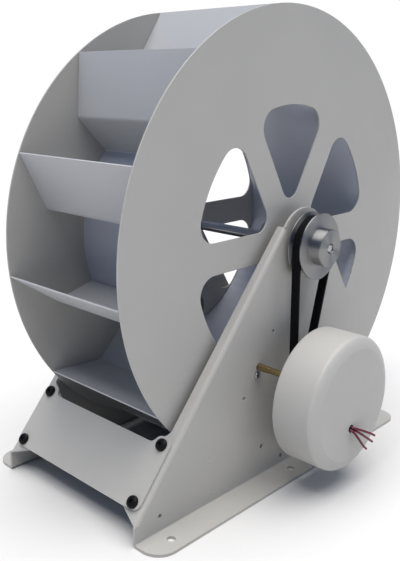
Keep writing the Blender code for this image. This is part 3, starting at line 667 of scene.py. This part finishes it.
def pulley_profile():
    """The drive pulley's section, without teeth, from the hub's sunk middle outwards and back."""
    edge = PULLEY_EDGE
    flange_slope = 3 * edge
    hub_chamfer = 2 * edge
    sunk = PULLEY_HUB_FACE - CENTRE_DEPTH
    front_inner = PULLEY_FRONT - PULLEY_FLANGE
    back_inner = PULLEY_BACK + PULLEY_FLANGE
    root = PULLEY_BODY_R - TOOTH_DEPTH
    return [
        (PULLEY_BORE_R, sunk),
        (CENTRE_R - edge, sunk),
        (CENTRE_R, PULLEY_HUB_FACE),
        (PULLEY_HUB_R - hub_chamfer, PULLEY_HUB_FACE),
        (PULLEY_HUB_R, PULLEY_HUB_FACE - hub_chamfer),
        (PULLEY_HUB_R, PULLEY_FRONT + edge),
        (PULLEY_HUB_R + edge, PULLEY_FRONT),
        (PULLEY_FLANGE_R - edge, PULLEY_FRONT),
        (PULLEY_FLANGE_R, PULLEY_FRONT - edge),
        (PULLEY_FLANGE_R, front_inner + edge),
        (PULLEY_FLANGE_R - flange_slope, front_inner),
        (root, front_inner),
        (root, back_inner),
        (PULLEY_FLANGE_R - flange_slope, back_inner),
        (PULLEY_FLANGE_R, back_inner - edge),
        (PULLEY_FLANGE_R, PULLEY_BACK + edge),
        (PULLEY_FLANGE_R - edge, PULLEY_BACK),
        (PULLEY_BORE_R, PULLEY_BACK),
    ]


def make_drive_pulley(finish):
    """Flanges and hub are turned, with the set screw's hole drilled in the hub."""
    body = turned_mesh(pulley_profile(), PULLEY_STEPS)
    floor = PULLEY_HUB_R - GRUB_HOLE_DEPTH
    top = PULLEY_HUB_R + GRUB_HOLE_RISE
    drilled = cut(body, plug_mesh(GRUB_HOLE_R, floor, top, GRUB_STEPS), GRUB_IN_AXLE)
    add("pulley_body", drilled, AXLE, "wheel", finish, ("drive_pulley",))


def make_pulley_teeth(finish):
    """The toothed rim between the flanges is a ring of its own."""
    root = PULLEY_BODY_R - TOOTH_DEPTH
    low = PULLEY_BACK + PULLEY_FLANGE - RIM_LAP
    high = PULLEY_FRONT - PULLEY_FLANGE + RIM_LAP
    outlines = [toothed_outline(PULLEY_BODY_R, root, TEETH), circle(root - RIM_SEAT, RIM_STEPS)]
    rim = sheet_mesh(outlines, low, high, RIM_EDGE)
    add("pulley_teeth", rim, AXLE, "wheel", finish)


def make_grub_screw(finish):
    """The set screw in the hub's top, a little below its surface, with a cone-bottomed socket."""
    top = PULLEY_HUB_R - GRUB_SUNK
    foot = PULLEY_HUB_R - GRUB_HOLE_DEPTH + GRUB_LIFT
    profile = [
        (0, top - SOCKET_POINT),
        (SOCKET_R, top - SOCKET_DEPTH),
        (SOCKET_R, top),
        (GRUB_R - GRUB_EDGE, top),
        (GRUB_R, top - GRUB_EDGE),
        (GRUB_R, foot),
        (0, foot),
    ]
    mesh = turned_mesh(profile, GRUB_STEPS)
    add("grub_screw", mesh, GRUB_AXIS, "wheel", finish)


# Generator

def housing_shoulder():
    """The curve from the case's side to its face, which it meets at a faint crease."""
    points = []
    for step in range(SHOULDER_STEPS + 1):
        turn = SHOULDER_TURN * (1 - step / SHOULDER_STEPS)
        inward = SHOULDER_WIDTH * (1 - math.cos(turn)) / (1 - math.cos(SHOULDER_TURN))
        rise = SHOULDER_HEIGHT * math.sin(turn) / math.sin(SHOULDER_TURN)
        points.append((HOUSING_R - inward, HOUSING_FRONT - SHOULDER_HEIGHT + rise))
    return points


def housing_profile():
    """The case's section, from the middle of its face round to the bore for the rotor."""
    back_centre = (HOUSING_R - BACK_ROUND, HOUSING_BACK + BACK_ROUND)
    points = [(0, HOUSING_FRONT), *housing_shoulder()]
    points += arc(back_centre, BACK_ROUND, 0, -math.pi / 2, BACK_ROUND_STEPS)
    points += [(ROTOR_BORE_R, HOUSING_BACK), (ROTOR_BORE_R, ROTOR_BORE_END), (0, ROTOR_BORE_END)]
    return points


def make_housing(finish):
    case = turned_mesh(housing_profile(), HOUSING_STEPS)
    low = HOUSING_FRONT - LEAD_HOLE_DEPTH
    high = HOUSING_FRONT + LEAD_HOLE_RISE
    hole = plug_mesh(LEAD_HOLE_R, low, high, LEAD_HOLE_STEPS)
    hole_place = Matrix.Translation((LEAD_HOLE[0] - HOUSING_X, LEAD_HOLE[1] - HOUSING_HEIGHT, 0))
    mesh = cut(case, hole, hole_place, CREASE_ANGLE)
    add("generator_case", mesh, STATOR, "frame", finish, ("generator_housing",))


# Pieces that keep their CAD shape

def carry_over_frame(finishes):
    for name in ("side_plate_near", "side_plate_far", "front_cover", "rear_cover"):
        carry_over(name, finishes["white_paint"], PLATE_EDGE)
    for where in ("front", "rear"):
        for number in range(1, COVER_SCREWS + 1):
            carry_over(f"cover_screw_{where}_{number}", finishes["black_steel"], SCREW_EDGE)
    for name in ("bearing_near", "bearing_far", "plate_screw", "generator_shaft"):
        carry_over(name, finishes["steel"])
    for number in range(1, PILLARS + 1):
        carry_over(f"generator_pillar_{number}", finishes["brass"], PILLAR_EDGE)
    carry_over("generator_pulley", finishes["small_aluminium"])
    carry_over("lead_grommet", finishes["belt_rubber"])
    carry_over("drive_belt", finishes["belt_rubber"])


def carry_over_wheel(finishes):
    # The drum's paint is lighter and bluer: painted shade light of the wheel's inside
    carry_over("drum", finishes["drum_paint_with_painted_shade"])
    # The buckets' paint is bluer than the plates': painted shade of their insides
    for number in range(1, BUCKETS + 1):
        carry_over(f"bucket_{number:02d}", finishes["bucket_paint_with_painted_shade"], PLATE_EDGE)
    for name in ("hub_near", "hub_far", "wheel_shaft"):
        carry_over(name, finishes["steel"])


# Stand

def make_rivets(finish):
    """Small painted rivets low on the near side plate, near its front edge."""
    profile = [
        (0, PLATE_FACE + RIVET_RISE),
        (RIVET_R * RIVET_TOP_SHARE, PLATE_FACE + RIVET_RISE * RIVET_SHOULDER_SHARE),
        (RIVET_R, PLATE_FACE + RIVET_FOOT),
        (0, PLATE_FACE + RIVET_FOOT),
    ]
    for number, place in enumerate(RIVETS, 1):
        mesh = turned_mesh(profile, RIVET_STEPS)
        matrix = MACHINE @ Matrix.Translation((*place, 0))
        add(f"plate_rivet_{number}", mesh, matrix, "frame", finish)


# Room and light

def make_floor():
    shader = Shader("floor", FLOOR_COLOUR, FLOOR_ROUGHNESS)
    shader.set("Specular IOR Level", FLOOR_SPECULAR)
    bpy.ops.mesh.primitive_plane_add(size=FLOOR_SIZE, location=(0, 0, -FLOOR_DROP))
    floor = bpy.context.active_object
    floor.name = "floor"
    floor.data.materials.append(shader.material)


def make_world():
    """A dim, slightly blue sky that lights the piece, behind a plain pale backdrop."""
    world = bpy.data.worlds.new("studio")
    world.use_nodes = True
    tree = world.node_tree
    sky = tree.nodes["Background"]
    sky.inputs["Color"].default_value = (*SKY_COLOUR, 1)
    sky.inputs["Strength"].default_value = SKY_STRENGTH
    backdrop = tree.nodes.new("ShaderNodeBackground")
    backdrop.inputs["Color"].default_value = (*BACKDROP_COLOUR, 1)
    seen = tree.nodes.new("ShaderNodeLightPath")
    mix = tree.nodes.new("ShaderNodeMixShader")
    tree.links.new(seen.outputs["Is Camera Ray"], mix.inputs["Fac"])
    tree.links.new(sky.outputs[0], mix.inputs[1])
    tree.links.new(backdrop.outputs[0], mix.inputs[2])
    tree.links.new(mix.outputs[0], tree.nodes["World Output"].inputs["Surface"])
    bpy.context.scene.world = world


def facing_back_along(direction):
    """The turn of a lamp that shines from the given direction."""
    return direction.to_track_quat("Z", "Y").to_euler()


def make_overhead_light():
    data = bpy.data.lights.new("overhead", "SUN")
    data.energy = SUN_STRENGTH
    data.color = SUN_COLOUR
    data.angle = SUN_ANGLE
    linked("overhead", data).rotation_euler = facing_back_along(SUN_FROM)


def make_gloss_light():
    """A small lamp for the bright line on the pulley's hub."""
    data = bpy.data.lights.new("gloss", "AREA")
    data.shape = "DISK"
    data.size = GLOSS_SIZE
    data.energy = GLOSS_POWER
    lamp = linked("gloss", data)
    lamp.location = GLOSS_PLACE
    lamp.rotation_euler = facing_back_along(GLOSS_PLACE - Vector((0, 0, AXLE_HEIGHT)))


def make_room():
    make_floor()
    make_world()
    make_overhead_light()
    make_gloss_light()
    view = bpy.context.scene.view_settings
    view.view_transform = "Standard"
    view.look = "None"


def main():
    make_camera()
    finishes = make_materials()
    make_leads(finishes["lead_sleeve"])
    carry_over_frame(finishes)
    carry_over_wheel(finishes)
    make_discs(finishes["white_paint"])
    make_drive_pulley(finishes["aluminium"])
    make_pulley_teeth(finishes["aluminium"])
    make_grub_screw(finishes["steel"])
    make_rivets(finishes["white_paint"])
    make_housing(finishes["housing_paint"])
    make_room()


main()
